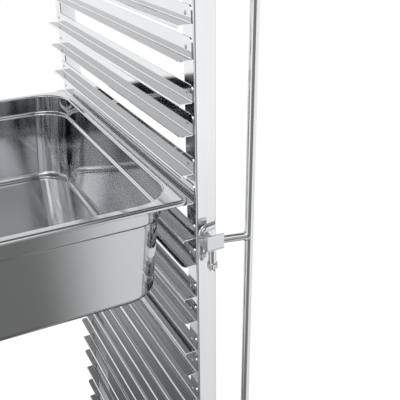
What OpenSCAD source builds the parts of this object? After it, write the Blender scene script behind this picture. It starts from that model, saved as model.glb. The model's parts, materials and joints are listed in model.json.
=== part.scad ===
// Tray trolley: four square posts that carry pairs of folded rails, on four swivel castors.
// Origin on the floor under the middle of the frame, +Z up, the loading front faces -Y.
// A safety bar parks beside the front right post, and a second one beside the rear left post.

/* [Frame] */
// Outer width of the square posts and frame tubes
post_w = 28; // [26:1:36]
// Wall of the posts and frame tubes
tube_wall = 1.5; // [1:0.1:2]
// Outer corner radius of the posts and frame tubes
tube_r = 2.2; // [2:0.1:3]
// Depth of the frame beyond the pan's length
frame_extra = 32; // [30:1:110]
// Gap between the lower frame tubes and the posts' lower ends
base_lift = 5; // [0:1:20]
// Gap between the highest rail and the upper frame tubes
top_gap = 40; // [20:1:120]
// Thickness of the cap plate on each post
cap_t = 2; // [1:0.5:4]
// Depth that each cap's plug reaches into its post
cap_plug = 12; // [6:1:20]

/* [Rails] */
// Number of tray levels, each with a carrying rail and a keeper rail on both sides
levels = 15; // [6:1:18]
// Height from one tray level to the next
pitch = 88; // [84:1:110]
// Height of the lowest carrying surface above the floor
first_level = 262; // [240:1:320]
// Height of the keeper rail's surface above the carrying surface
keeper_up = 39; // [34:1:44]
// Sheet thickness of the rails
rail_t = 1; // [0.8:0.1:1.5]
// Gap between a ledge's free edge and the pan's wall
ledge_gap = 1.8; // [1:0.1:6]
// Height of a carrying rail's web above its ledge
web_low = 23.3; // [18:0.1:27]
// Height of a keeper rail's web above its ledge
web_high = 19; // [17:0.1:27]
// Flat height of a keeper rail's turned-down hem, between its fold and its curl
hem_flat = 0.3; // [0.1:0.1:2]
// Inner radius of the curl along a hem's lower edge
curl_in = 0.2; // [0.1:0.1:1]
// Outer radius of the folds
fold_r = 2.5; // [1.6:0.1:3]
// Radius of a web's upper corners
web_r = 6; // [2:0.5:8]
// Radius of a carrying ledge's free corners
ledge_r = 6; // [2:0.5:8]
// Distance from the post's outer face to a rail's end
rail_in = 4.5; // [3:0.5:10]
// Distance from a rail's end to its rivet
rivet_in = 14; // [8:0.5:16]
// Diameter of a rivet's shank
rivet_d = 3; // [2.4:0.1:4]
// Diameter of a rivet's head
rivet_head_d = 5; // [4.6:0.1:7]
// Height of a rivet's head
rivet_head_h = 0.9; // [0.6:0.1:1.4]

/* [Pan] */
// Length of the pan's flange, front to back
pan_l = 530; // [500:1:530]
// Width of the pan's flange
pan_w = 325; // [320:1:326]
// Depth of the pan
pan_h = 150; // [65:1:200]
// Sheet thickness of the pan
pan_t = 1; // [0.6:0.1:1.2]
// Width of the flange around the pan's mouth
pan_flange = 13.2; // [11:0.1:15]
// Radius of the flange's outer corners
flange_r = 14; // [10:1:20]
// Height of the flange's turned-down edge
pan_edge = 6.5; // [5:0.5:8]
// Outer radius of the bend above the flange's edge
edge_r = 3.5; // [2:0.5:4]
// Depth of the stacking shoulder below the flange
shoulder_drop = 28; // [20:1:35]
// Width of the stacking shoulder
shoulder_in = 4.5; // [2:0.5:6]
// Slope of the pan's walls, as the inset at the foot of the lower wall
pan_draft = 8; // [3:0.5:12]
// Radius of the pan's upright corners, inside the flange
pan_corner = 50; // [34:1:60]
// Radius between the pan's walls and its bottom
pan_foot = 12; // [8:1:24]
// Level that the pan is on, counted from below
pan_level = 12; // [3:1:15]
// Distance from the posts' front faces to the pan's front edge
pan_set = 3; // [2:0.5:18]
// Gap between the pan's flange and each web
pan_side = 5; // [2:0.5:6]

/* [Safety bar] */
// Diameter of the upright rod
rod_d = 11; // [10:0.5:14]
// Diameter of the bent arms
arm_d = 10; // [8:0.5:11]
// Distance from the pivot axis to the rod's axis
bar_reach = 47.5; // [42:0.5:60]
// Distance from the post's front face to the pivot axis
pivot_off = 15.2; // [14.8:0.1:20]
// Angle of the parked arm towards the front
park_angle = 12; // [6:1:14]
// Centreline radius of an arm's bend
bend_r = 7; // [6:0.5:9]
// Gap between the lower frame tube and the rod's lower end
rod_low_gap = 57; // [20:1:90]
// Distance from the post's top to the rod's upper end
rod_high_gap = 60; // [30:1:120]
// Distance from the rod's lower end to the lower arm
arm_low = 200; // [60:1:240]
// Distance from the rod's upper end to the upper arm
arm_high = 376.5; // [60:0.5:400]
// Height that the bar can be lifted before its nuts meet the brackets
lift_gap = 22; // [12:0.5:26]
// Width of the bracket and of the guard plate
lip_w = 23.4; // [20:0.1:23.6]
// Height of the guard plate
lip_h = 19.5; // [14:0.1:22]
// Thickness of the bracket and of the guard plate
lip_t = 1.5; // [1:0.1:1.5]
// Thickness of the washer under each arm
washer_t = 1; // [0.8:0.1:1.5]
// Diameter of the threaded end
thread_d = 8; // [6:0.5:8.5]
// Length of the threaded end
thread_l = 12; // [9:0.5:18]
// Width across the flats of the stop nut
nut_af = 13; // [12:0.5:14]
// Height of the stop nut
nut_h = 6.5; // [5:0.5:8]

/* [Castors] */
// Radius of the wheels
wheel_r = 62.5; // [58:0.5:64]
// Width of the tyres
wheel_w = 32; // [26:1:34]
// Height of the tyre's rubber over the core
tyre_h = 12.5; // [8:0.5:16]
// Distance from the swivel axis to the axle
trail = 38; // [34:0.5:40]
// Gap between the tyre and each leg of the fork
wheel_side = 3.3; // [2.8:0.1:4]
// Sheet thickness of the fork
fork_t = 3; // [2.5:0.1:3]
// Gap between the wheel and the fork's crown
crown_gap = 6; // [5:0.5:6]
// Diameter of the swivel head
head_d = 58; // [50:1:64]
// Height of the swivel head, from the fork's race to the post
head_h = 19.7; // [17:0.1:30]
// Diameter of the swivel head's collar under the post
collar_d = 39; // [34:1:42]
// Diameter of the kingpin
king_d = 12; // [10:0.5:14]
// Length of the plug that holds the kingpin in the post
plug_l = 45; // [30:1:70]
// Diameter of the axle
axle_d = 10; // [8:0.5:12]
// Diameter of the hub
hub_d = 28; // [20:1:36]
// Distance from the axle to the brake pedal's pin, along the trail
pedal_ahead = 28; // [26:1:30]
// Diameter of the brake pedal's pin
pedal_pin_d = 5; // [4:0.5:6]

/* [Hidden] */
$fn = 48;
run_fit = 0.06;
gap = 0.3;
over = 1;
steel = [0.80, 0.81, 0.82];
bright = [0.88, 0.89, 0.90];
shade = [0.62, 0.63, 0.65];
white_plastic = [0.86, 0.86, 0.85];
grey_plastic = [0.55, 0.56, 0.58];
tyre_grey = [0.32, 0.33, 0.34];

axle_z = wheel_r;
crown_z = 2 * wheel_r + crown_gap;
crown_top = crown_z + fork_t;
race_h = 1;
race_in = 4;
head_z = crown_top + race_h + gap;
cup_h = 8;
cup_slope = 5;
collar_h = 3;
neck_wall = 8;
castor_h = head_z + head_h;
fork_gap = wheel_w + 2 * wheel_side;
leg_x = fork_gap / 2;
leg_back = 24;
leg_ahead = 16;
crown_ahead = 12;
skirt_back = 8;
skirt_front = 12;
boss_r = 13;
hub_play = 0.5;
hub_w = fork_gap - 2 * hub_play;
rim_r = wheel_r - tyre_h;
king_head_af = 18;
king_head_h = 6;
king_nut_h = 8;
king_out = 12;
axle_head_af = 16;
axle_head_h = 6;
pedal_y = trail + pedal_ahead;
pedal_z = 2 * wheel_r;
pedal_play = 1;
pedal_w = fork_gap - 2 * pedal_play;
pedal_r = 4.5;
pedal_t = 3.5;
pedal_tip = 34;
pedal_ear = 8;

clear_w = pan_w + 2 * pan_side;
frame_d = pan_l + frame_extra;
tube_r_in = max(tube_r - tube_wall, 0.4);
plug_slack = 0.2;
plug_w = post_w - 2 * tube_wall - plug_slack;
face_x = clear_w / 2 + rail_t;
post_x = face_x + post_w / 2;
post_y = frame_d / 2 - post_w / 2;
front_y = -frame_d / 2;
base_z = castor_h + base_lift;
top_level = first_level + (levels - 1) * pitch;
post_top = top_level + keeper_up + web_high + top_gap + post_w;

ledge_w = rail_t + pan_side + pan_flange - ledge_gap;
curl_r = curl_in + rail_t;
rail_len = frame_d - 2 * rail_in;
rivet_y = rail_len / 2 - rivet_in;
rivet_slack = 0.1;
rivet_hole_d = rivet_d + rivet_slack;
rivet_tail = 2;
tail_rim = 0.6;
mandrel_d = 1.5;

rim_bend = 1.5;
upper_draft = 1.5;
corner_taper = 0.2;
edge_steps = 3;
foot_steps = 4;
pan_arc = 10;

pivot_x = post_x;
pivot_y = front_y - pivot_off;
rod_z0 = base_z + post_w + rod_low_gap;
rod_z1 = post_top - rod_high_gap;
arm_z = [rod_z0 + arm_low, rod_z1 - arm_high];
seat_drop = bend_r + washer_t;
plate_lap = 0.1;
lip_back = lip_w / 2 * tan(park_angle) + arm_d / 2 / cos(park_angle) - plate_lap;
washer_d = 2 * (lip_back - gap);
bracket_reach = pivot_off + lip_back + lip_t;
rod_end_r = 2;
weld_r = 1.5;

castors = ["fr", "fl", "rr", "rl"];
braked = ["fr", "fl"];
function level_name(i) = str("rails_", i < 10 ? "0" : "", i);
frame_nodes = ["post_front_right", "post_front_left", "post_rear_right", "post_rear_left",
    "base_side_tubes", "base_cross_tubes", "top_side_tubes", "top_cross_tubes", "post_caps",
    "rail_rivets", "castor_plugs", "castor_heads", "castor_kingpins", "pan"];
bar_nodes = ["brackets", "washers", "rod", "arms", "plates", "nuts"];

// Copies what stands at the front right corner to a named corner
module corner(name) {
    mirror([name[1] == "l" ? 1 : 0, 0, 0])
        mirror([0, name[0] == "r" ? 1 : 0, 0])
            children();
}

// Turns what stands at the front right corner half round for the rear
module at_end(end) {
    rotate([0, 0, end == "rear" ? 180 : 0])
        children();
}

module both_sides() {
    for (side = [0, 1])
        mirror([side, 0, 0])
            children();
}

module both_ends() {
    for (side = [0, 1])
        mirror([0, side, 0])
            children();
}

module rounded_square(w, d, r) {
    square([w - 2 * r, d], center = true);
    square([w, d - 2 * r], center = true);
    for (x = [-1, 1])
        for (y = [-1, 1])
            translate([x * (w / 2 - r), y * (d / 2 - r)])
                circle(r);
}

// What a cut leaves outside a quarter circle, for rounding a sheet's corner
module corner_cut(r) {
    difference() {
        square(r + over);
        circle(r);
    }
}

module tube_profile() {
    difference() {
        rounded_square(post_w, post_w, tube_r);
        rounded_square(post_w - 2 * tube_wall, post_w - 2 * tube_wall, tube_r_in);
    }
}

module tube(length) {
    linear_extrude(length)
        tube_profile();
}

// Every rivet's height, in the middle of a rail's web
function rivet_heights() = [for (i = [0 : levels - 1]) for (up = [web_low / 2, keeper_up + web_high / 2])
    first_level + i * pitch + up];

module post() {
    color(steel)
        difference() {
            translate([post_x, -post_y, castor_h])
                tube(post_top - castor_h);
            for (z = rivet_heights())
                translate([face_x - over, -rivet_y, z])
                    rotate([0, 90, 0])
                        cylinder(d = rivet_hole_d, h = tube_wall + 2 * over);
        }
}

module side_tubes(z) {
    length = 2 * post_y - post_w;
    color(steel)
        both_sides()
            translate([post_x, length / 2, z + post_w / 2])
                rotate([90, 0, 0])
                    tube(length);
}

module cross_tubes(z) {
    length = 2 * face_x;
    color(steel)
        both_ends()
            translate([-length / 2, -post_y, z + post_w / 2])
                rotate([0, 90, 0])
                    tube(length);
}

module post_caps() {
    color(grey_plastic)
        both_sides()
            both_ends()
                translate([post_x, -post_y, post_top]) {
                    linear_extrude(cap_t)
                        rounded_square(post_w, post_w, tube_r);
                    translate([0, 0, -cap_plug])
                        linear_extrude(cap_plug)
                            rounded_square(plug_w, plug_w, tube_r_in);
                }
}

// Quarter ring of sheet, right of its centre and below it
module fold(r) {
    intersection() {
        difference() {
            circle(r);
            circle(r - rail_t);
        }
        translate([0, -r])
            square(r);
    }
}

// Section of a rail: web on the post's face at x = 0, ledge towards -X with its top at y = 0
module rail_profile(web_h, hem) {
    free = hem ? fold_r : 0;
    translate([-rail_t, fold_r - rail_t])
        square([rail_t, web_h - fold_r + rail_t]);
    translate([-fold_r, fold_r - rail_t])
        fold(fold_r);
    translate([free - ledge_w, -rail_t])
        square([ledge_w - fold_r - free, rail_t]);
    if (hem) {
        translate([fold_r - ledge_w, -fold_r])
            rotate(180)
                fold(fold_r);
        translate([-ledge_w, -fold_r - hem_flat])
            square([rail_t, hem_flat]);
        translate([curl_r - ledge_w, -fold_r - hem_flat])
            rotate(-90)
                fold(curl_r);
    }
}

module rail(web_h, hem) {
    difference() {
        translate([0, rail_len / 2, 0])
            rotate([90, 0, 0])
                linear_extrude(rail_len)
                    rail_profile(web_h, hem);
        both_ends() {
            translate([-rail_t - over, rail_len / 2 - web_r, web_h - web_r])
                rotate([90, 0, 90])
                    linear_extrude(rail_t + 2 * over)
                        corner_cut(web_r);
            if (!hem)
                translate([ledge_r - ledge_w, rail_len / 2 - ledge_r, -rail_t - over])
                    linear_extrude(rail_t + 2 * over)
                        mirror([1, 0])
                            corner_cut(ledge_r);
            translate([-rail_t - over, rivet_y, web_h / 2])
                rotate([0, 90, 0])
                    cylinder(d = rivet_hole_d, h = rail_t + 2 * over);
        }
    }
}

// The carrying rails and the keeper rails of one level, left and right
module rails(i) {
    color(bright)
        both_sides()
            translate([face_x, 0, first_level + (i - 1) * pitch]) {
                rail(web_low, false);
                translate([0, 0, keeper_up])
                    rail(web_high, true);
            }
}

// Blind rivet along +X, its head's underside at x = 0
module rivet() {
    rotate([0, 90, 0])
        difference() {
            union() {
                translate([0, 0, -rivet_head_h])
                    cylinder(d = rivet_head_d, h = rivet_head_h);
                cylinder(d = rivet_d, h = rail_t + tube_wall + rivet_tail);
                translate([0, 0, rail_t + tube_wall])
                    cylinder(d = rivet_d + 2 * tail_rim, h = rivet_tail);
            }
            translate([0, 0, -rivet_head_h - over])
                cylinder(d = mandrel_d, h = rivet_head_h + over);
        }
}

module rail_rivets() {
    color(shade)
        both_sides()
            both_ends()
                for (z = rivet_heights())
                    translate([face_x - rail_t, rivet_y, z])
                        rivet();
}

// Points of a rounded rectangle, anticlockwise, with half sizes a and b and corner radius r
function ring(a, b, r, z) = [for (q = [0 : 3]) for (s = [0 : pan_arc])
    let (t = 90 * (q + s / pan_arc), cx = (q == 0 || q == 3 ? 1 : -1) * (a - r),
        cy = (q < 2 ? 1 : -1) * (b - r))
        [cx + r * cos(t), cy + r * sin(t), z]];

// A wall ring: inset from the flange's edge, corner radius and depth
function wall_ring(inset, depth) = [inset, pan_corner - (inset - pan_flange) * corner_taper, depth];

// Rings of the pan's wall from the flange down to the bottom, on its outer or its inner face
function pan_wall(out) = let (
    t = out ? 0 : pan_t,
    under = pan_t - t,
    foot = pan_foot - t,
    top = pan_flange + t,
    mid = top + upper_draft,
    low = mid + shoulder_in,
    end = low + pan_draft)
    concat(
        [wall_ring(top - rim_bend, under), wall_ring(top, rim_bend + under)],
        [wall_ring(mid, shoulder_drop), wall_ring(low, shoulder_drop + shoulder_in)],
        [for (s = [0 : foot_steps]) let (a = 90 * s / foot_steps)
            wall_ring(end + foot * (1 - cos(a)), pan_h - t - foot * (1 - sin(a)))]);

// Rings of the bend above the flange's edge, from the flange outwards and down
function edge_bend(r) = [for (s = [0 : edge_steps]) let (
    a = 90 * s / edge_steps,
    inset = edge_r - r * sin(a))
        [inset, flange_r - inset, edge_r - r * cos(a)]];

function reversed(list) = [for (i = [len(list) - 1 : -1 : 0]) list[i]];

// Every ring of the pan's sheet, from the inner bottom over the flange to the outer bottom
function pan_rings() = concat(
    reversed(pan_wall(false)),
    edge_bend(edge_r),
    [[0, flange_r, pan_edge], [pan_t, flange_r - pan_t, pan_edge]],
    reversed(edge_bend(edge_r - pan_t)),
    pan_wall(true));

module pan() {
    seat_z = first_level + (min(pan_level, levels) - 1) * pitch;
    rings = pan_rings();
    n = 4 * (pan_arc + 1);
    m = len(rings);
    points = [for (r = rings) each ring(pan_w / 2 - r[0], pan_l / 2 - r[0], r[1], -r[2])];
    walls = [for (i = [0 : m - 2]) for (j = [0 : n - 1])
        let (a = i * n + j, b = i * n + (j + 1) % n)
            each [[a, b, a + n], [b, b + n, a + n]]];
    caps = [[for (j = [n - 1 : -1 : 0]) j], [for (j = [0 : n - 1]) (m - 1) * n + j]];
    color(bright)
        translate([0, front_y + pan_set + pan_l / 2, seat_z + gap + pan_edge])
            polyhedron(points, concat(walls, caps), convexity = 6);
}

// Welded bracket plates on the post's front face, with the pivot's hole
module bar_brackets(end) {
    color(steel)
        at_end(end)
            for (z = arm_z)
                translate([pivot_x, front_y, z - seat_drop - lip_t])
                    difference() {
                        translate([-lip_w / 2, -bracket_reach, 0])
                            cube([lip_w, bracket_reach, lip_t]);
                        translate([0, -pivot_off, -over])
                            cylinder(d = arm_d + 2 * run_fit, h = lip_t + 2 * over);
                    }
}

module bar_washers(end) {
    color(white_plastic)
        at_end(end)
            for (z = arm_z)
                translate([pivot_x, pivot_y, z - seat_drop])
                    difference() {
                        cylinder(d = washer_d, h = washer_t);
                        translate([0, 0, -over])
                            cylinder(d = arm_d + 2 * run_fit, h = washer_t + 2 * over);
                    }
}

// Turns about the pivot to the parked direction of the arm, which then points along +X
module parked(end) {
    at_end(end)
        translate([pivot_x, pivot_y, 0])
            rotate([0, 0, -park_angle])
                children();
}

module bar_rod(end) {
    color(bright)
        parked(end)
            translate([bar_reach, 0, 0])
                rotate_extrude()
                    polygon([[0, rod_z0], [rod_d / 2 - rod_end_r, rod_z0], [rod_d / 2, rod_z0 + rod_end_r],
                        [rod_d / 2, rod_z1 - rod_end_r], [rod_d / 2 - rod_end_r, rod_z1], [0, rod_z1]]);
}

// One bent arm: a leg down through the bracket, a quarter bend and the arm out to the rod
module arm() {
    leg_low = seat_drop + lip_t + lift_gap;
    translate([0, 0, -leg_low])
        cylinder(d = arm_d, h = leg_low - bend_r);
    translate([0, 0, -leg_low - thread_l])
        cylinder(d = thread_d, h = thread_l);
    translate([bend_r, 0, -bend_r])
        rotate([-90, 0, 0])
            rotate_extrude(angle = 90)
                translate([-bend_r, 0])
                    circle(d = arm_d);
    difference() {
        union() {
            translate([bend_r, 0, 0])
                rotate([0, 90, 0])
                    cylinder(d = arm_d, h = bar_reach - bend_r);
            translate([bar_reach - rod_d / 2 - weld_r, 0, 0])
                rotate([0, 90, 0])
                    cylinder(d1 = arm_d, d2 = arm_d + 2 * weld_r, h = weld_r + over);
        }
        translate([bar_reach, 0, -arm_d])
            cylinder(d = rod_d, h = 2 * arm_d);
    }
}

module bar_arms(end) {
    color(bright)
        parked(end)
            for (z = arm_z)
                translate([0, 0, z])
                    arm();
}

// Guard plates in front of the bends, each welded to its arm at the side
module bar_plates(end) {
    color(white_plastic)
        at_end(end)
            for (z = arm_z)
                translate([pivot_x - lip_w / 2, pivot_y - lip_back - lip_t, z - seat_drop + gap])
                    cube([lip_w, lip_t, lip_h]);
}

module hex_ring(af, h, bore) {
    difference() {
        cylinder(d = af / cos(30), h = h, $fn = 6);
        translate([0, 0, -over])
            cylinder(d = bore, h = h + 2 * over);
    }
}

module bar_nuts(end) {
    color(shade)
        at_end(end)
            for (z = arm_z)
                translate([pivot_x, pivot_y, z - seat_drop - lip_t - lift_gap - nut_h])
                    hex_ring(nut_af, nut_h, thread_d);
}

// Plug inside a post's lower end, around the kingpin
module castor_plugs() {
    color(grey_plastic)
        both_sides()
            both_ends()
                translate([post_x, -post_y, castor_h])
                    difference() {
                        linear_extrude(plug_l)
                            rounded_square(plug_w, plug_w, tube_r_in);
                        translate([0, 0, -over])
                            cylinder(d = king_d, h = plug_l + 2 * over);
                    }
}

// Fixed swivel heads: a cup over the fork's race and a collar under the post
module castor_heads() {
    neck_r = king_d / 2 + neck_wall;
    color(steel)
        both_sides()
            both_ends()
                translate([post_x, -post_y, 0])
                    rotate_extrude()
                        polygon([[king_d / 2, head_z], [head_d / 2, head_z], [head_d / 2, head_z + cup_h],
                            [neck_r, head_z + cup_h + cup_slope], [neck_r, castor_h - collar_h],
                            [collar_d / 2, castor_h - collar_h], [collar_d / 2, castor_h],
                            [king_d / 2, castor_h]]);
}

module castor_kingpins() {
    nut_z = castor_h + plug_l;
    king_top = nut_z + king_out;
    color(shade)
        both_sides()
            both_ends()
                translate([post_x, -post_y, 0]) {
                    translate([0, 0, crown_z - gap - king_head_h])
                        cylinder(d = king_head_af / cos(30), h = king_head_h, $fn = 6);
                    translate([0, 0, crown_z - gap])
                        cylinder(d = king_d, h = king_top - crown_z + gap);
                    translate([0, 0, nut_z])
                        hex_ring(king_head_af, king_nut_h, king_d);
                }
}

// Side view of a fork's leg, with x along the trail and y up
module leg_profile(brake) {
    ear = brake ? pedal_y + pedal_ear : trail + leg_ahead;
    difference() {
        union() {
            polygon([[-leg_back, crown_top], [-leg_back, crown_z - skirt_back], [trail - boss_r, axle_z],
                [trail + boss_r, axle_z], [ear, crown_z - skirt_front], [ear, crown_top]]);
            translate([trail, axle_z])
                circle(boss_r);
        }
        translate([trail, axle_z])
            circle(d = axle_d + 2 * run_fit);
        if (brake)
            translate([pedal_y, pedal_z])
                circle(d = pedal_pin_d + 2 * run_fit);
    }
}

module castor_fork(name) {
    brake = name[0] == "f";
    crown_end = trail + crown_ahead;
    color(steel)
        corner(name)
            translate([post_x, -post_y, 0]) {
                for (x = [-leg_x - fork_t, leg_x])
                    translate([x, 0, 0])
                        rotate([90, 0, 90])
                            linear_extrude(fork_t)
                                mirror([1, 0])
                                    leg_profile(brake);
                difference() {
                    union() {
                        translate([-leg_x - fork_t / 2, -crown_end, crown_z])
                            cube([fork_gap + fork_t, crown_end + leg_back, fork_t]);
                        translate([0, 0, crown_z])
                            cylinder(d = head_d - 2 * race_in, h = fork_t + race_h);
                    }
                    translate([0, 0, crown_z - over])
                        cylinder(d = king_d + 2 * run_fit, h = fork_t + race_h + 2 * over);
                }
            }
}

module castor_axle(name) {
    length = fork_gap + 2 * fork_t + 2 * axle_head_h;
    color(shade)
        corner(name)
            translate([post_x, -post_y - trail, axle_z])
                rotate([0, 90, 0]) {
                    translate([0, 0, -length / 2])
                        cylinder(d = axle_d, h = length);
                    for (z = [-length / 2, length / 2 - axle_head_h])
                        translate([0, 0, z])
                            hex_ring(axle_head_af, axle_head_h, axle_d - over);
                }
}

module castor_core(name) {
    web_t = 10;
    rim_t = 6;
    slope = 3;
    rim_w = wheel_w - 2;
    bore_r = axle_d / 2 + run_fit;
    color(grey_plastic)
        corner(name)
            translate([post_x, -post_y - trail, axle_z])
                rotate([0, 90, 0])
                    rotate_extrude()
                        polygon([[bore_r, -hub_w / 2], [hub_d / 2, -hub_w / 2],
                            [hub_d / 2 + slope, -web_t / 2], [rim_r - rim_t - slope, -web_t / 2],
                            [rim_r - rim_t, -rim_w / 2], [rim_r, -rim_w / 2],
                            [rim_r, rim_w / 2], [rim_r - rim_t, rim_w / 2],
                            [rim_r - rim_t - slope, web_t / 2], [hub_d / 2 + slope, web_t / 2],
                            [hub_d / 2, hub_w / 2], [bore_r, hub_w / 2]]);
}

// Tyre with rounded shoulders and a flat running face
module castor_tyre(name) {
    shoulder = 6;
    steps = 5;
    arc = [for (s = [0 : steps]) let (a = 90 * s / steps)
        [wheel_r - shoulder + shoulder * cos(a), wheel_w / 2 - shoulder + shoulder * sin(a)]];
    color(tyre_grey)
        corner(name)
            translate([post_x, -post_y - trail, axle_z])
                rotate([0, 90, 0])
                    rotate_extrude($fn = 96)
                        polygon(concat([[rim_r, -wheel_w / 2]],
                            [for (i = [steps : -1 : 0]) [arc[i][0], -arc[i][1]]], arc,
                            [[rim_r, wheel_w / 2]]));
}

// Rocking brake pedal on its pin, with the pad over the tyre and the foot plate outwards
module castor_pedal(name) {
    pin_l = fork_gap + 2 * fork_t + 2 * pedal_play;
    color(grey_plastic)
        corner(name)
            translate([post_x, -post_y - pedal_y, pedal_z]) {
                rotate([0, 90, 0]) {
                    translate([0, 0, -pin_l / 2])
                        cylinder(d = pedal_pin_d, h = pin_l);
                    translate([0, 0, -pedal_w / 2])
                        cylinder(r = pedal_r, h = pedal_w);
                }
                translate([-pedal_w / 2, 0, 0])
                    rotate([90, 0, 90])
                        linear_extrude(pedal_w)
                            mirror([1, 0])
                                polygon([[0, pedal_r], [pedal_tip, 0], [pedal_tip, -pedal_t], [14, -1.5],
                                    [14, -8], [11, -10], [5, -7], [2, -3]]);
            }
}

corner("fr") post();  // post_front_right
corner("fl") post();  // post_front_left
corner("rr") post();  // post_rear_right
corner("rl") post();  // post_rear_left
side_tubes(base_z);  // base_side_tubes
cross_tubes(base_z);  // base_cross_tubes
side_tubes(post_top - post_w);  // top_side_tubes
cross_tubes(post_top - post_w);  // top_cross_tubes
post_caps();
for (i = [1 : levels])
    rails(i);
rail_rivets();
pan();
for (end = ["front", "rear"]) {
    bar_brackets(end);
    bar_washers(end);
    bar_rod(end);
    bar_arms(end);
    bar_plates(end);
    bar_nuts(end);
}
castor_plugs();
castor_heads();
castor_kingpins();
for (c = castors) {
    castor_fork(c);
    castor_axle(c);
    castor_core(c);
    castor_tyre(c);
}
for (c = braked)
    castor_pedal(c);
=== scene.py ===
"""Tray trolley: finishes, detailed pieces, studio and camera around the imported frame."""
import json
import math

import bmesh
import bpy
from mathutils import Matrix, Vector


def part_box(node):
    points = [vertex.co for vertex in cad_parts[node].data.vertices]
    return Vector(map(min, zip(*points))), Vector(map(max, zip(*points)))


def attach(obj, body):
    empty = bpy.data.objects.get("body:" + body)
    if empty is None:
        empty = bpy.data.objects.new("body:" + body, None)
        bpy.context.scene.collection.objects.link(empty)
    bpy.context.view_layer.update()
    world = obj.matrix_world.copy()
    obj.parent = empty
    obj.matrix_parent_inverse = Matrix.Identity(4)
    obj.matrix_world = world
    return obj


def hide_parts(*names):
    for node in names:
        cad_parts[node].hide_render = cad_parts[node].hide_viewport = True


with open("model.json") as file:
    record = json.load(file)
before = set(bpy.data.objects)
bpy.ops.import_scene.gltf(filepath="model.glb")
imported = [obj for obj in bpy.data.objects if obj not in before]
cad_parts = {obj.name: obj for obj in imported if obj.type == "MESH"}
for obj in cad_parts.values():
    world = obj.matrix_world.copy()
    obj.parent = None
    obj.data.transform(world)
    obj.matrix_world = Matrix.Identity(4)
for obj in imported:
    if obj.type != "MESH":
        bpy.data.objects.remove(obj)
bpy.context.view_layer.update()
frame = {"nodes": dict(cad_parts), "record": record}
NODES = frame["nodes"]
SLOT_OF = {part["node"]: part["material_slot"] for part in frame["record"]["subparts"]}
BODY_OF = {
    node: body
    for body, members in frame["record"]["behaviour"]["bodies"].items()
    for node in members
}
MM = 0.001

# Camera fitted to the photograph: place in metres, angles in degrees, lens on a 36 mm sensor
CAM_PLACE = Vector((-0.14456, -0.91492, 1.58081))
CAM_YAW = 26.65
CAM_PITCH = 26.01
CAM_ROLL = -0.67
CAM_LENS = 58.51
CAM_SENSOR = 36
CAM_CLIP = (0.01, 200)

# Studio: radiance of the background, of the dimmer parts that metal mirrors, and of the plain light
BACKDROP = 1.0
CEILING = 0.13
# Next: the floor in front of the trolley as metal mirrors it, a patch of painted shade
DARK_FRONT = 0.15
FRONT_WALL = 0.42
SIDE_WALL = 0.3
DARK_CURTAIN = 0.1
PLAIN_LIGHT = 0.78
FLOOR_SIZE = 60.0
FLOOR_TONE = 0.95
FLOOR_SHOWN = 0.62
FLOOR_GLOW = 1.16
FLOOR_MIRRORED = 0.9
# Heights on the unit sphere between which the mirrored backdrop falls off to the ceiling
BACK_FALL = (0.35, 0.78)
# Bearings from the front, in degrees, over which each mirrored part starts and ends
SIDE_WALL_SPAN = ((20, 30), (65, 80))
DARK_CURTAIN_SPAN = ((8, 16), (22, 32))
FRONT_WALL_SPAN = ((-62, -44), (9, 17))
PANEL_SPAN = ((-50, -40), (18, 26))
# Next: the bearings of the patch of painted shade on the mirrored floor, in front of the trolley
FLOOR_FRONT_SPAN = ((-62, -44), (8, 21))
# Heights over which the bright patch above the front wall starts and ends
PANEL_FOOT = (0.56, 0.68)
PANEL_HEAD = (0.92, 0.97)
# The mirrored floor's strength near the trolley and far from it, a painted shade that dims it near the
# trolley: from, to, and the distances in metres
FLOOR_NEAR_SHADE = (0.4, 1.0, 0.85, 1.25)
FLOOR_FAR_SHADE = (0.75, 1.0, 1.0, 4.0)


class Graph:
    """A node tree, with a short call to add a node and fill or link its inputs."""

    def __init__(self, tree):
        self.tree = tree
        tree.nodes.clear()

    def add(self, kind, inputs=None, **settings):
        node = self.tree.nodes.new(kind)
        for key, value in settings.items():
            setattr(node, key, value)
        for key, value in (inputs or {}).items():
            if isinstance(value, bpy.types.NodeSocket):
                self.tree.links.new(value, node.inputs[key])
            else:
                node.inputs[key].default_value = value
        return node

    def noise(self, scale, stretch=(1, 1, 1), detail=3.0, rough=0.55):
        place = self.add("ShaderNodeTexCoord").outputs["Object"]
        spread = self.add("ShaderNodeMapping", {"Vector": place, "Scale": stretch})
        texture = self.add(
            "ShaderNodeTexNoise",
            {"Vector": spread.outputs["Vector"], "Scale": scale, "Detail": detail, "Roughness": rough},
        )
        return texture.outputs["Fac"]

    def span(self, value, low, high, start=0.3, end=0.7, kind="LINEAR"):
        ranged = self.add(
            "ShaderNodeMapRange",
            {"Value": value, "From Min": start, "From Max": end, "To Min": low, "To Max": high},
            interpolation_type=kind,
        )
        return ranged.outputs["Result"]

    def math(self, operation, *values):
        return self.add("ShaderNodeMath", dict(enumerate(values)), operation=operation).outputs[0]

    def choose(self, factor, off, on):
        return self.add("ShaderNodeMix", {"Factor": factor, "A": off, "B": on}).outputs["Result"]

    def blend(self, factor, dark, light):
        mixed = self.add("ShaderNodeMix", data_type="RGBA")
        self.tree.links.new(factor, mixed.inputs["Factor"])
        mixed.inputs["A"].default_value = (*dark, 1)
        mixed.inputs["B"].default_value = (*light, 1)
        return mixed.outputs["Result"]

    def bump(self, height, distance, normal=None):
        inputs = {"Height": height, "Distance": distance, "Strength": 1.0}
        if normal is not None:
            inputs["Normal"] = normal
        return self.add("ShaderNodeBump", inputs).outputs["Normal"]


def new_graph(name):
    material = bpy.data.materials.new(name)
    material.use_nodes = True
    return material, Graph(material.node_tree)


def shades(colour, low, high):
    return [c * low for c in colour], [min(1.0, c * high) for c in colour]


# Steel's colour, a little cooler than grey
STEEL = (0.80, 0.81, 0.82)
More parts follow.
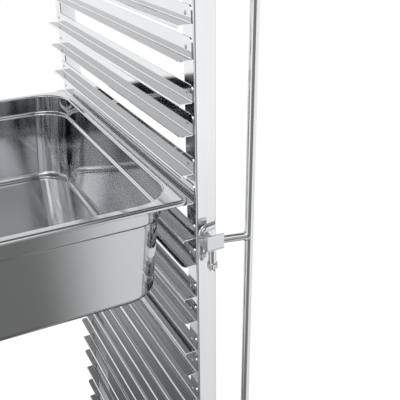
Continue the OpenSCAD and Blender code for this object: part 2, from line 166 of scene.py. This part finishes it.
# Lines of the grain per metre across it, and their width as a share of their length
GRAIN_LINES = 1400
GRAIN_STRETCH = 0.012
GRAIN_SHADES = (0.965, 1.02)
# Smears and waves of a sheet, and scuffs of moulded skin, per metre
SMEARS = 9
WAVES = 14
SCUFFS = 28
SCUFF_SHADES = (0.9, 1.06)
# Z of the normal from which a face counts as one that looks up, and gets the painted shade on faces that look
# up
FACING_UP = (0.9, 0.99)


def steel(name, tone=1.0, rough=(0.08, 0.14), grain_axis=1, grain_depth=1.0e-6, wave=0.0, top_shade=1.0):
    """Ground or polished stainless steel: grain lines along one axis, faint smears, slightly uneven sheet.

    Faces that look up get painted shade where the last argument is under 1: their colour is darkened to stand
    in for the dimmer reflection they show.
    """
    material, g = new_graph(name)
    stretch = [1.0, 1.0, 1.0]
    if grain_axis is not None:
        stretch[grain_axis] = GRAIN_STRETCH
    lines = g.noise(GRAIN_LINES, stretch, detail=4)
    smears = g.noise(SMEARS, (1, 1, 0.4), detail=5, rough=0.6)
    colour = [c * tone for c in STEEL]
    normal = g.bump(lines, grain_depth)
    if wave:
        normal = g.bump(g.noise(WAVES, detail=1), wave, normal)
    roughness = g.span(smears, rough[0], rough[1])
    tint = g.blend(g.span(lines, 0, 1), *shades(colour, *GRAIN_SHADES))
    # Painted shade: faces that look up get a darker colour
    if top_shade < 1:
        facing = g.add("ShaderNodeNewGeometry").outputs["True Normal"]
        up = g.add("ShaderNodeSeparateXYZ", {"Vector": facing}).outputs["Z"]
        top_darkening = g.span(up, 1.0, top_shade, *FACING_UP)
        tint = g.add("ShaderNodeVectorMath", {0: tint, "Scale": top_darkening}, operation="SCALE").outputs["Vector"]
    shader = g.add(
        "ShaderNodeBsdfPrincipled",
        {
            "Base Color": tint,
            "Metallic": 1.0,
            "Roughness": roughness,
            "Normal": normal,
        },
    )
    g.add("ShaderNodeOutputMaterial", {"Surface": shader.outputs["BSDF"]})
    return material


def moulded(name, colour, rough=(0.38, 0.5), pore=700, depth=8e-6, specular=0.5):
    """Moulded plastic or rubber: a fine pored skin, with faint scuffs and uneven tone."""
    material, g = new_graph(name)
    pores = g.noise(pore, detail=2)
    scuffs = g.noise(SCUFFS, detail=6, rough=0.7)
    shader = g.add(
        "ShaderNodeBsdfPrincipled",
        {
            "Base Color": g.blend(g.span(scuffs, 0, 1), *shades(colour, *SCUFF_SHADES)),
            "Roughness": g.span(scuffs, rough[0], rough[1]),
            "Specular IOR Level": specular,
            "Normal": g.bump(pores, depth),
        },
    )
    g.add("ShaderNodeOutputMaterial", {"Surface": shader.outputs["BSDF"]})
    return material


MATERIALS = {
    "post_steel": steel("post_steel", 1.1, (0.04, 0.08), grain_axis=2, grain_depth=2e-7),
    "frame_steel": steel("frame_steel", 1.04, (0.10, 0.16), grain_axis=1, grain_depth=5e-7),
    # The rails' ledges get painted shade: the colour of their tops is darkened to stand in for a dimmer
    # reflection
    "rail_steel": steel("rail_steel", 1.06, (0.035, 0.08), grain_axis=1, grain_depth=2e-7, top_shade=0.5),
    "pan_steel": steel("pan_steel", 0.86, (0.07, 0.12), grain_axis=1, grain_depth=2e-7, wave=4e-6),
    "bar_steel": steel("bar_steel", 1.04, (0.06, 0.1), grain_axis=2, grain_depth=3e-7),
    "plate_steel": steel("plate_steel", 1.05, (0.26, 0.36), grain_axis=0, grain_depth=1.2e-6),
    "fixing_steel": steel("fixing_steel", 0.8, (0.16, 0.26), grain_axis=None, grain_depth=6e-7),
    "castor_steel": steel("castor_steel", 0.95, (0.2, 0.3), grain_axis=None, grain_depth=8e-7),
    "cap_plastic": moulded("cap_plastic", (0.26, 0.27, 0.29)),
    "washer_plastic": moulded("washer_plastic", (0.72, 0.72, 0.70), rough=(0.3, 0.4)),
    "wheel_plastic": moulded("wheel_plastic", (0.26, 0.27, 0.29)),
    "pedal_plastic": moulded("pedal_plastic", (0.07, 0.075, 0.085)),
    "tyre_rubber": moulded(
        "tyre_rubber", (0.085, 0.09, 0.095), rough=(0.6, 0.75), pore=420, depth=2e-5, specular=0.3
    ),
}


# Points nearer than this are one point, and faces flatter to each other than this angle are one face
SAME_POINT = 1e-6
SAME_FACE = math.radians(0.5)


class Shape:
    """Points and faces gathered from several forms, for one mesh."""

    def __init__(self):
        self.points = []
        self.faces = []

    def skin(self, rings, place=None, caps=True, loop=False):
        """Joins closed rings of equally many points, and caps the first and last, or joins them in a loop."""
        base, count = len(self.points), len(rings[0])
        for ring in rings:
            self.points += [place @ Vector(p) if place else Vector(p) for p in ring]
        pairs = len(rings) if loop else len(rings) - 1
        for i in range(pairs):
            a, b = base + i * count, base + (i + 1) % len(rings) * count
            self.faces += [(a + j, a + (j + 1) % count, b + (j + 1) % count, b + j) for j in range(count)]
        if caps and not loop:
            self.faces.append(tuple(range(base + count - 1, base - 1, -1)))
            self.faces.append(tuple(base + (len(rings) - 1) * count + j for j in range(count)))

    def lathe(self, profile, turns=32, place=None, loop=False):
        """Turns a profile of (radius, height) about Z; a loop is a ring with a bore."""
        self.skin([circle(r, z, turns) for r, z in profile], place, caps=not loop, loop=loop)

    def build(self, name, body, slot, stands_for=(), sharp=35):
        mesh = bpy.data.meshes.new(name)
        mesh.from_pydata(self.points, [], self.faces)
        bm = bmesh.new()
        bm.from_mesh(mesh)
        bmesh.ops.remove_doubles(bm, verts=bm.verts, dist=SAME_POINT)
        bmesh.ops.dissolve_degenerate(bm, edges=bm.edges, dist=SAME_POINT)
        bmesh.ops.recalc_face_normals(bm, faces=bm.faces)
        bm.to_mesh(mesh)
        bm.free()
        return place_piece(name, mesh, body, slot, stands_for, sharp)


def place_piece(name, mesh, body, slot, stands_for=(), sharp=35):
    """Shades a mesh, makes it an object that rides on a body, and gives it the slot's material."""
    mesh.shade_smooth()
    mesh.set_sharp_from_angle(angle=math.radians(sharp))
    mesh.materials.append(MATERIALS[slot])
    piece = bpy.data.objects.new(name, mesh)
    bpy.context.scene.collection.objects.link(piece)
    weigh = piece.modifiers.new("weigh", "WEIGHTED_NORMAL")
    weigh.keep_sharp = True
    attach(piece, body)
    if stands_for:
        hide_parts(*stands_for)
    return piece


# Signs of X and Y in the four quarters, counterclockwise
QUARTERS = ((1, 1), (-1, 1), (-1, -1), (1, -1))


def circle(radius, height, turns):
    steps = [2 * math.pi * i / turns for i in range(turns)]
    return [(radius * math.cos(a), radius * math.sin(a), height) for a in steps]


def arc(cx, cy, radius, start, end, steps):
    """Points of an arc about (cx, cy), its angles in degrees."""
    turns = [math.radians(start + (end - start) * i / steps) for i in range(steps + 1)]
    return [(cx + radius * math.cos(a), cy + radius * math.sin(a)) for a in turns]


def middle(node):
    low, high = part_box(node)
    return (low + high) / 2


def size(node):
    low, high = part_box(node)
    return high - low


def softened(node, width, segments=2, sharp=30):
    """A copy of a CAD node with its sheared or moulded edges rounded, in the node's place."""
    bm = bmesh.new()
    bm.from_mesh(NODES[node].data)
    bmesh.ops.remove_doubles(bm, verts=bm.verts, dist=SAME_POINT)
    bmesh.ops.dissolve_limit(bm, angle_limit=SAME_FACE, verts=bm.verts, edges=bm.edges)
    plain = bpy.data.meshes.new(node + "_softened")
    bm.verts.index_update()
    plain.from_pydata([v.co.copy() for v in bm.verts], [], [[v.index for v in f.verts] for f in bm.faces])
    bm.free()
    piece = place_piece(node + "_softened", plain, BODY_OF[node], SLOT_OF[node], (node,), sharp)
    bevel = piece.modifiers.new("edges", "BEVEL")
    bevel.width = width
    bevel.segments = segments
    bevel.limit_method = "ANGLE"
    bevel.angle_limit = math.radians(sharp)
    piece.modifiers.move(1, 0)
    return piece


def finish_cad_nodes():
    """Gives every CAD node that still shows the material of its slot."""
    for node, piece in NODES.items():
        material = MATERIALS[SLOT_OF[node]]
        if not piece.material_slots:
            piece.data.materials.append(material)
        for place in piece.material_slots:
            place.material = material


# The pan: sheet, flange and corner sizes, as the frame has them
PAN_T = 1.0 * MM
PAN_FLANGE = 13.2 * MM
PAN_EDGE = 6.5 * MM
PAN_RIM_R = 2.2 * MM
PAN_UPPER_DRAFT = 1.5 * MM
PAN_SHOULDER_DROP = 28 * MM
PAN_SHOULDER_IN = 4.5 * MM
PAN_SHOULDER_TURN = 70
PAN_DRAFT = 8 * MM
PAN_CORNER = 50 * MM
PAN_TAPER = 0.2
PAN_EDGE_CORNER = 14 * MM
PAN_FOOT = 12 * MM
PAN_ARC = 18
PAN_BEND_STEPS = 6
PAN_FOOT_STEPS = 12
# The flange's lip: its bend down to a nearly upright face, and the roll under its lower edge
LIP_BEND_R = 4.2 * MM
LIP_LEAN = 88
LIP_ROLL_R = 1.3 * MM
LIP_ROLL = 80
LIP_STEPS = 9


def pan_wall(depth, sheet):
    """Profile of one face of the pan's wall, as (inset, depth); sheet is 0 on the outer face."""
    mid = PAN_FLANGE + PAN_UPPER_DRAFT + sheet
    end = mid + PAN_SHOULDER_IN + PAN_DRAFT
    turn = math.radians(PAN_SHOULDER_TURN)
    bend = PAN_SHOULDER_IN / 2 / (1 - math.cos(turn))
    back, down = 2 * bend * math.cos(turn), 2 * bend * math.sin(turn)
    foot = PAN_FOOT - sheet
    rim = PAN_RIM_R - PAN_T + sheet
    points = arc(PAN_FLANGE + PAN_T - PAN_RIM_R, PAN_RIM_R, rim, -90, 0, PAN_BEND_STEPS)
    points += arc(mid + bend, PAN_SHOULDER_DROP, bend, 180, 180 - PAN_SHOULDER_TURN, PAN_BEND_STEPS)
    points += arc(mid + bend - back, PAN_SHOULDER_DROP + down, bend, -PAN_SHOULDER_TURN, 0, PAN_BEND_STEPS)
    for i in range(PAN_FOOT_STEPS + 1):
        a = math.radians(90 * i / PAN_FOOT_STEPS)
        points.append((end + foot * (1 - math.cos(a)), depth - sheet - foot * (1 - math.sin(a))))
    return points


def lip_inset():
    """How far in from the flange's edge its bend starts."""
    out, up = math.sin(math.radians(LIP_LEAN)), math.cos(math.radians(LIP_LEAN))
    straight = (PAN_EDGE - LIP_ROLL_R * (1 + up) - LIP_BEND_R * (1 - up)) / out
    return LIP_ROLL_R * (1 - out) + LIP_BEND_R * out + straight * up


def lip_face(sheet):
    """Profile of one face of the lip, from the flange down; sheet is 0 on the outer face."""
    turn = -90 - LIP_LEAN
    bend = arc(lip_inset(), LIP_BEND_R, LIP_BEND_R - sheet, -90, turn, LIP_STEPS)
    roll_drop = PAN_EDGE - LIP_ROLL_R
    return bend + arc(LIP_ROLL_R, roll_drop, LIP_ROLL_R - sheet, turn, turn - LIP_ROLL, LIP_STEPS)


def corner_radius(inset):
    """Radius of the pan's upright corners at an inset from the flange's edge."""
    if inset < lip_inset() + 0.1 * MM:
        return PAN_EDGE_CORNER - inset
    return PAN_CORNER - (inset - PAN_FLANGE) * PAN_TAPER


def make_pan():
    low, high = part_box("pan")
    centre = (low + high) / 2
    half_x, half_y = (high.x - low.x) / 2, (high.y - low.y) / 2
    depth = high.z - low.z
    inside = pan_wall(depth, PAN_T)
    outside = pan_wall(depth, 0)
    profile = inside[::-1] + lip_face(0) + lip_face(PAN_T)[::-1] + outside

    def ring(inset, drop):
        a, b, r = half_x - inset, half_y - inset, corner_radius(inset)
        points = []
        for q, (sx, sy) in enumerate(QUARTERS):
            for x, y in arc(sx * (a - r), sy * (b - r), r, 90 * q, 90 * q + 90, PAN_ARC):
                points.append((centre.x + x, centre.y + y, high.z - drop))
        return points

    pan = Shape()
    pan.skin([ring(*p) for p in profile])
    pan.build("pan_shell", "pan", "pan_steel", ("pan",), sharp=50)


# Rails, where their rivets sit
RAIL_T = 1.0 * MM
KEEPER_UP = 39 * MM
WEB_LOW = 23.3 * MM
WEB_HIGH = 19 * MM

# Blind rivets: a domed head with the sunk end of its mandrel
RIVET_HEAD_R = 2.5 * MM
RIVET_HEAD_H = 0.9 * MM
RIVET_SHANK_R = 1.5 * MM
RIVET_TAIL_R = 2.1 * MM
RIVET_TAIL_H = 2.0 * MM
MANDREL_R = 0.9 * MM
RIVET_WALL = 2.5 * MM
RIVET_TURNS = 14


def make_rivets():
    """Domed heads on every rail end, facing the middle of the trolley."""
    heights = sorted({round(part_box(n)[0].z, 4) for n in NODES if n.startswith("rails_")})
    rivets_low, rivets_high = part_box("rail_rivets")
    face = rivets_high.x - RIVET_TAIL_H - RIVET_WALL
    along = (rivets_high.y - rivets_low.y) / 2 - RIVET_HEAD_R
    profile = [(MANDREL_R * 0.05, 0.35), (MANDREL_R, 0.35), (MANDREL_R, 0.92), (MANDREL_R * 1.3, 1.0)]
    profile += [(RIVET_HEAD_R * share, h) for share, h in ((0.72, 0.86), (0.93, 0.52), (1, 0.16), (1, 0))]
    head = [(r, h * RIVET_HEAD_H) for r, h in profile]
    body = [(RIVET_SHANK_R, 0), (RIVET_SHANK_R, -RIVET_WALL), (RIVET_TAIL_R, -RIVET_WALL - 0.3 * MM)]
    body += [(RIVET_TAIL_R, -RIVET_WALL - RIVET_TAIL_H), (RIVET_TAIL_R * 0.1, -RIVET_WALL - RIVET_TAIL_H)]
    rivets = Shape()
    for base in heights:
        for z in (base + RAIL_T + WEB_LOW / 2, base + RAIL_T + KEEPER_UP + WEB_HIGH / 2):
            for sx in (-1, 1):
                for sy in (-1, 1):
                    turn = Matrix.Rotation(math.radians(-90 * sx), 4, "Y")
                    place = Matrix.Translation((sx * face, sy * along, z)) @ turn
                    rivets.lathe(head + body, RIVET_TURNS, place)
    rivets.build("rivets", "frame", "fixing_steel", ("rail_rivets",))


# Safety bars: round bars, their bend, the threaded ends and the weld beads
ARM_R = 5.0 * MM
ROD_R = 5.5 * MM
ROD_END_R = 2 * MM
BEND_R = 7.0 * MM
BEND_STEPS = 12
WASHER_T = 1.0 * MM
BRACKET_T = 1.5 * MM
LEG_RUN = 22 * MM
SEAT_DROP = BEND_R + WASHER_T
LEG_LOW = SEAT_DROP + BRACKET_T + LEG_RUN
LEG_TIP = 0.5 * MM
THREAD_R = 4.0 * MM
THREAD_L = 12 * MM
THREAD_PITCH = 1.25 * MM
THREAD_DEPTH = 0.55 * MM
THREAD_STEPS = 8
THREAD_RUN_OUT = 0.8 * MM
THREAD_RUN_OUT_SHARE = 0.14
PARK = 12.0
NUT_AF = 13 * MM
NUT_H = 6.5 * MM
NUT_CHAMFER = 0.11
NUT_SINK = 0.5 * MM
BEAD_R = 1.3 * MM
BEAD_STEPS = 52
BEAD_OUT = 0.35 * MM
BEAD_SUNK = 0.3 * MM


def sweep_rings(path, radius, turns=24):
    """Circles square to a path that lies in the XZ plane."""
    rings = []
    for i, point in enumerate(path):
        before, after = path[max(i - 1, 0)], path[min(i + 1, len(path) - 1)]
        along = (after - before).normalized()
        side = Vector((0, 1, 0))
        up = along.cross(side)
        steps = [2 * math.pi * k / turns for k in range(turns)]
        rings.append([point + side * radius * math.cos(a) + up * radius * math.sin(a) for a in steps])
    return rings


def thread_rings(z0, z1, turns=24):
    """Rings of a helical thread about Z, its crest at THREAD_R."""
    steps = int((z1 - z0) / THREAD_PITCH * THREAD_STEPS)
    rings = []
    for i in range(steps + 1):
        z = z0 + (z1 - z0) * i / steps
        run_out = min(1.0, (z - z0) / THREAD_RUN_OUT + 0.25)
        share = (1 - THREAD_RUN_OUT_SHARE) + THREAD_RUN_OUT_SHARE * run_out
        ring = []
        for k in range(turns):
            phase = (z / THREAD_PITCH - k / turns) % 1.0
            crest = abs(2 * phase - 1)
            r = (THREAD_R - THREAD_DEPTH * (1 - crest)) * share
            a = 2 * math.pi * k / turns
            ring.append((r * math.cos(a), r * math.sin(a), z))
        rings.append(ring)
    return rings


def bead(shape, path, radius, place, turns=8, ripple=0.14, ripples=26):
    """A weld bead: a thin tube along a closed path, with the small scallops of the weld."""
    count = len(path)
    rings = []
    for i, point in enumerate(path):
        after = path[(i + 1) % count]
        before = path[i - 1]
        along = (after - before).normalized()
        side = along.orthogonal().normalized()
        up = along.cross(side)
        r = radius * (1 + ripple * math.sin(2 * math.pi * ripples * i / count))
        steps = [2 * math.pi * k / turns for k in range(turns)]
        rings.append([point + side * r * math.cos(a) + up * r * math.sin(a) for a in steps])
    shape.skin(rings, place, loop=True)


def hex_nut(shape, flats, height, bore, place, turns=48):
    """A hexagon nut along Z from 0 to its height, its corners chamfered at both faces."""
    chamfer = NUT_CHAMFER * flats

    def radius(a, z):
        wedge = (a % (math.pi / 3)) - math.pi / 6
        flat = flats / 2 / math.cos(wedge)
        edge = min(z, height - z)
        return min(flat, flats / 2 * 0.985 + edge * 1.75)

    near_face = [0, chamfer * 0.35, chamfer * 0.7, chamfer]
    levels = near_face + [height - z for z in reversed(near_face)]
    steps = [2 * math.pi * (k + 0.5) / turns for k in range(turns)]
    rings = [[(radius(a, z) * math.cos(a), radius(a, z) * math.sin(a), z) for a in steps] for z in levels]
    sunk = bore + NUT_SINK
    for r, z in ((sunk, height), (bore, height - NUT_SINK), (bore, NUT_SINK), (sunk, 0)):
        rings.append([(r * math.cos(a), r * math.sin(a), z) for a in steps])
    shape.skin(rings, place, loop=True)


def arm_places(end):
    """Where the two arms' pivots stand, turned to the parked direction, lower one first."""
    low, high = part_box(end + "_bar_washers")
    turn = 0 if end == "front" else 180
    spin = Matrix.Rotation(math.radians(turn - PARK), 4, "Z")
    x, y = (low.x + high.x) / 2, (low.y + high.y) / 2
    seats = (low.z, high.z - WASHER_T)
    return [Matrix.Translation((x, y, z + SEAT_DROP)) @ spin for z in seats]


def make_bar(end):
    """The bent arms with their threads and weld beads, the rod and the stop nuts of one safety bar."""
    body = end + "_bar"
    places = arm_places(end)
    rod_low, rod_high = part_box(end + "_bar_rod")
    rod_at = (rod_low + rod_high) / 2
    reach = (Vector((rod_at.x, rod_at.y, 0)) - places[0].translation.to_2d().to_3d()).length
    arms, nuts = Shape(), Shape()
    for place in places:
        path = [Vector((0, 0, -LEG_LOW)), Vector((0, 0, -BEND_R))]
        path += [Vector((x, 0, z)) for x, z in arc(BEND_R, -BEND_R, BEND_R, 180, 90, BEND_STEPS)[1:]]
        path += [Vector((reach - ROD_R * 0.6, 0, 0))]
        rings = sweep_rings(path, ARM_R)
        tip = sweep_rings([Vector((0, 0, -LEG_LOW - LEG_TIP)), Vector((0, 0, -LEG_LOW))], ARM_R - LEG_TIP)
        arms.skin([tip[0]] + rings, place)
        arms.skin(thread_rings(-LEG_LOW - THREAD_L, -LEG_LOW - 0.2 * MM), place)
        loop = []
        for i in range(BEAD_STEPS):
            a = 2 * math.pi * i / BEAD_STEPS
            y, z = (ARM_R + BEAD_OUT) * math.sin(a), (ARM_R + BEAD_OUT) * math.cos(a)
            loop.append(Vector((reach - math.sqrt(max(ROD_R**2 - y**2, 0)) - BEAD_SUNK, y, z)))
        bead(arms, loop, BEAD_R, place)
        drop = Matrix.Translation((0, 0, -LEG_LOW - NUT_H)) @ Matrix.Rotation(math.radians(PARK), 4, "Z")
        hex_nut(nuts, NUT_AF, NUT_H, THREAD_R - 0.1 * MM, place @ drop)
    arms.build(end + "_bent_arms", body, "bar_steel", (end + "_bar_arms",))
    nuts.build(end + "_stop_nuts", body, "fixing_steel", (end + "_bar_nuts",), sharp=22)
    rod = Shape()
    half = (rod_high.z - rod_low.z) / 2
    flat_r = ROD_R - ROD_END_R
    profile = [(ROD_R * 0.02, -half)] + arc(flat_r, -half + ROD_END_R, ROD_END_R, -90, 0, 6)
    profile += arc(flat_r, half - ROD_END_R, ROD_END_R, 0, 90, 6) + [(ROD_R * 0.02, half)]
    rod.lathe(profile, 64, Matrix.Translation(rod_at))
    rod.build(end + "_rod", body, "bar_steel", (end + "_bar_rod",))


def make_castor(name):
    """The wheel of one castor: a ribbed core and a rounded tyre with a moulded ring on each side."""
    tyre_name, core_name = f"castor_{name}_tyre", f"castor_{name}_core"
    centre = middle(tyre_name)
    wheel_r, wheel_w = size(tyre_name).z / 2, size(tyre_name).x
    hub_w = size(core_name).x
    rim_r = size(core_name).z / 2
    side = Matrix.Translation(centre) @ Matrix.Rotation(math.pi / 2, 4, "Y")
    shoulder = 7 * MM
    half = wheel_w / 2
    crown = 0.6 * MM
    groove = 0.5 * MM
    wall = [(rim_r, -half + 1 * MM), (rim_r + 1 * MM, -half)]
    wall += [(rim_r + 3.2 * MM, -half), (rim_r + 3.7 * MM, -half + groove), (rim_r + 4.2 * MM, -half)]
    arc_low = arc(wheel_r - shoulder - crown, -half + shoulder, shoulder, -90, -4, 8)
    run = [(wheel_r - crown * (2 * t / 6 - 1) ** 2, (half - shoulder) * (2 * t / 6 - 1)) for t in range(1, 6)]
    lower = wall + arc_low
    upper = [(r, -h) for r, h in reversed(lower)]
    tyre = Shape()
    tyre.lathe(lower + run + upper, 96, side, loop=True)
    tyre.build(f"tyre_{name}", f"wheel_{name}", "tyre_rubber", (tyre_name,))
    core = Shape()
    bore, hub_r, web, rim_t = 5.06 * MM, 14 * MM, 5 * MM, 5 * MM
    edge = half - 1 * MM
    ring = [(bore, -hub_w / 2), (hub_r - 1 * MM, -hub_w / 2), (hub_r, -hub_w / 2 + 1 * MM)]
    ring += [(hub_r + 1.5 * MM, -web), (rim_r - rim_t - 2 * MM, -web), (rim_r - rim_t, -edge + 1 * MM)]
    ring += [(rim_r - rim_t + 1 * MM, -edge), (rim_r, -edge)]
    core.lathe(ring + [(r, -h) for r, h in reversed(ring)], 64, side, loop=True)
    for i in range(8):
        spin = side @ Matrix.Rotation(math.pi / 4 * i, 4, "Z")
        thick, top = 1.6 * MM, edge - 2 * MM
        span = ((hub_r - 1 * MM, 1.0), (rim_r - rim_t + 1 * MM, 0.86))
        rings = [
            [(r, -thick, -top * k), (r, thick, -top * k), (r, thick, top * k), (r, -thick, top * k)]
            for r, k in span
        ]
        core.skin(rings, spin)
    core.build(f"wheel_core_{name}", f"wheel_{name}", "wheel_plastic", (core_name,))


# Ground weld seams: the bead, its path's corners, its depth under the tube's faces and its points' spacing
FRAME_BEAD_R = 0.7 * MM
WELD_CORNER_R = 2 * MM
WELD_INSIDE = 0.3 * MM
WELD_STEP = 1.2 * MM


def make_frame_welds():
    """Ground weld seams where the cross tubes and side tubes meet the posts."""
    welds = Shape()
    half = size("post_front_right").x / 2
    reach = half - WELD_INSIDE
    straight = reach - WELD_CORNER_R
    square = []
    for q, (sx, sy) in enumerate(QUARTERS):
        corner = arc(sx * straight, sy * straight, WELD_CORNER_R, 90 * q, 90 * q + 90, 4)
        square += [Vector((x, y, 0)) for x, y in corner]
    fine = []
    for i, point in enumerate(square):
        after = square[(i + 1) % len(square)]
        cuts = max(1, round((after - point).length / WELD_STEP))
        fine += [point.lerp(after, k / cuts) for k in range(cuts)]
    face_x = Matrix.Rotation(math.pi / 2, 4, "Y")
    face_y = Matrix.Rotation(math.pi / 2, 4, "X")
    for post in ("front_right", "front_left", "rear_right", "rear_left"):
        centre = middle("post_" + post)
        for tubes in ("base", "top"):
            z = middle(tubes + "_side_tubes").z
            inward_x = -half if centre.x > 0 else half
            inward_y = -half if centre.y > 0 else half
            across = Matrix.Translation((centre.x + inward_x, centre.y, z)) @ face_x
            along = Matrix.Translation((centre.x, centre.y + inward_y, z)) @ face_y
            bead(welds, fine, FRAME_BEAD_R, across, turns=6, ripple=0.2, ripples=44)
            bead(welds, fine, FRAME_BEAD_R, along, turns=6, ripple=0.2, ripples=44)
    welds.build("frame_welds", "frame", "frame_steel")


def sector(g, x, y, left, right):
    """1 between two bearings from the front and 0 past them; left and right give each ramp's ends."""
    bearing = g.math("ARCTAN2", x, g.math("MULTIPLY", y, -1.0))
    rise = g.span(bearing, 0, 1, math.radians(left[0]), math.radians(left[1]), "SMOOTHSTEP")
    fall = g.span(bearing, 1, 0, math.radians(right[0]), math.radians(right[1]), "SMOOTHSTEP")
    return g.math("MULTIPLY", rise, fall)


def build_world():
    """White backdrop for the camera, dimmer parts of it for metal to mirror, and plain light."""
    world = bpy.data.worlds.new("studio")
    bpy.context.scene.world = world
    world.use_nodes = True
    g = Graph(world.node_tree)
    rays = g.add("ShaderNodeLightPath").outputs
    place = g.add("ShaderNodeTexCoord").outputs["Generated"]
    x, y, z = g.add("ShaderNodeSeparateXYZ", {"Vector": place}).outputs
    mirrored = g.span(z, BACKDROP, CEILING, *BACK_FALL, "SMOOTHSTEP")
    mirrored = g.choose(sector(g, x, y, *SIDE_WALL_SPAN), mirrored, SIDE_WALL)
    mirrored = g.choose(sector(g, x, y, *DARK_CURTAIN_SPAN), mirrored, DARK_CURTAIN)
    mirrored = g.choose(sector(g, x, y, *FRONT_WALL_SPAN), mirrored, FRONT_WALL)
    bright = g.math("MULTIPLY", g.span(z, 0, 1, *PANEL_FOOT), g.span(z, 1, 0, *PANEL_HEAD))
    bright = g.math("MULTIPLY", bright, sector(g, x, y, *PANEL_SPAN))
    mirrored = g.choose(bright, mirrored, BACKDROP)
    glassy = g.math("MAXIMUM", rays["Is Glossy Ray"], rays["Is Transmission Ray"])
    strength = g.choose(glassy, PLAIN_LIGHT, mirrored)
    strength = g.choose(rays["Is Camera Ray"], strength, BACKDROP)
    background = g.add("ShaderNodeBackground", {"Color": (1, 1, 1, 1), "Strength": strength})
    g.add("ShaderNodeOutputWorld", {"Surface": background.outputs["Background"]})


def build_floor():
    """A pale floor that keeps the trolley's shadow and runs out into the backdrop, and that metal mirrors
    with painted shade near the trolley and in front of it.
    """
    mesh = bpy.data.meshes.new("floor")
    half = FLOOR_SIZE / 2
    corners = [(-half, -half, 0), (half, -half, 0), (half, half, 0), (-half, half, 0)]
    mesh.from_pydata(corners, [], [(0, 1, 2, 3)])
    floor = bpy.data.objects.new("floor", mesh)
    bpy.context.scene.collection.objects.link(floor)
    material, g = new_graph("floor_paint")
    rays = g.add("ShaderNodeLightPath").outputs
    place = g.add("ShaderNodeNewGeometry").outputs["Position"]
    x, y, z = g.add("ShaderNodeSeparateXYZ", {"Vector": place}).outputs
    away = g.add("ShaderNodeVectorMath", {0: place}, operation="LENGTH").outputs["Value"]
    # Painted shade: the floor that metal mirrors glows dimmer near the trolley, though the camera sees it
    # evenly bright
    near = g.math("MULTIPLY", g.span(away, *FLOOR_NEAR_SHADE), g.span(away, *FLOOR_FAR_SHADE))
    # Painted shade: a dark patch on the floor in front of the trolley that only reflections show
    front = g.span(sector(g, x, y, *FLOOR_FRONT_SPAN), BACKDROP, DARK_FRONT, 0, 1)
    mirrored = g.math("MULTIPLY", front, near)
    share = g.math("MAXIMUM", g.math("MULTIPLY", rays["Is Glossy Ray"], FLOOR_MIRRORED),
                   g.math("MULTIPLY", rays["Is Camera Ray"], FLOOR_SHOWN))
    paint = g.add("ShaderNodeBsdfDiffuse", {"Color": (FLOOR_TONE, FLOOR_TONE, FLOOR_TONE, 1)})
    shine = g.choose(rays["Is Camera Ray"], mirrored, FLOOR_GLOW)
    glow = g.add("ShaderNodeEmission", {"Color": (1, 1, 1, 1), "Strength": shine})
    mixed = g.add("ShaderNodeMixShader", {0: share, 1: paint.outputs[0], 2: glow.outputs[0]})
    g.add("ShaderNodeOutputMaterial", {"Surface": mixed.outputs[0]})
    mesh.materials.append(material)


def area_light(name, place, target, width, height, radiance, mirrored):
    """A softbox that faces a target, and that metal mirrors only if mirrored is true."""
    light = bpy.data.lights.new(name, "AREA")
    light.shape = "RECTANGLE"
    light.size, light.size_y = width, height
    light.energy = radiance * math.pi * width * height
    lamp = bpy.data.objects.new(name, light)
    lamp.visible_glossy = mirrored
    lamp.location = place
    lamp.rotation_mode = "QUATERNION"
    lamp.rotation_quaternion = (Vector(target) - Vector(place)).to_track_quat("-Z", "Y")
    bpy.context.scene.collection.objects.link(lamp)


def build_camera():
    """The photograph's view: looking right by the yaw, down by the pitch, turned by the roll."""
    yaw, pitch, roll = (math.radians(a) for a in (CAM_YAW, CAM_PITCH, CAM_ROLL))
    ahead = Vector((math.sin(yaw) * math.cos(pitch), math.cos(yaw) * math.cos(pitch), -math.sin(pitch)))
    level = Vector((math.cos(yaw), -math.sin(yaw), 0))
    upright = level.cross(ahead)
    right = level * math.cos(roll) + upright * math.sin(roll)
    up = upright * math.cos(roll) - level * math.sin(roll)
    data = bpy.data.cameras.new("camera")
    data.sensor_width = CAM_SENSOR
    data.lens = CAM_LENS
    data.clip_start, data.clip_end = CAM_CLIP
    camera = bpy.data.objects.new("camera", data)
    camera.matrix_world = Matrix(
        [[right[i], up[i], -ahead[i], CAM_PLACE[i]] for i in range(3)] + [[0, 0, 0, 1]]
    )
    bpy.context.scene.collection.objects.link(camera)
    bpy.context.scene.camera = camera


build_camera()
build_world()
build_floor()
area_light("key_softbox", (-1.5, -1.6, 3.1), (0, 0, 0.9), 2.4, 2.4, 0.88, True)
area_light("side_softbox", (2.4, -0.6, 2.4), (0, 0, 0.9), 1.0, 1.6, 1.6, False)

finish_cad_nodes()
make_pan()
make_rivets()
for bar_end in ("front", "rear"):
    make_bar(bar_end)
    softened(bar_end + "_bar_brackets", 0.25 * MM)
    softened(bar_end + "_bar_plates", 0.3 * MM)
    softened(bar_end + "_bar_washers", 0.2 * MM)
for castor in ("fr", "fl", "rr", "rl"):
    make_castor(castor)
    softened(f"castor_{castor}_fork", 0.5 * MM)
    softened(f"castor_{castor}_axle", 0.4 * MM)
for castor in ("fr", "fl"):
    softened(f"castor_{castor}_pedal", 0.8 * MM, segments=3)
softened("post_caps", 0.7 * MM, segments=3)
softened("castor_heads", 0.5 * MM)
softened("castor_kingpins", 0.4 * MM)
make_frame_welds()

bpy.context.scene.view_settings.view_transform = "Standard"
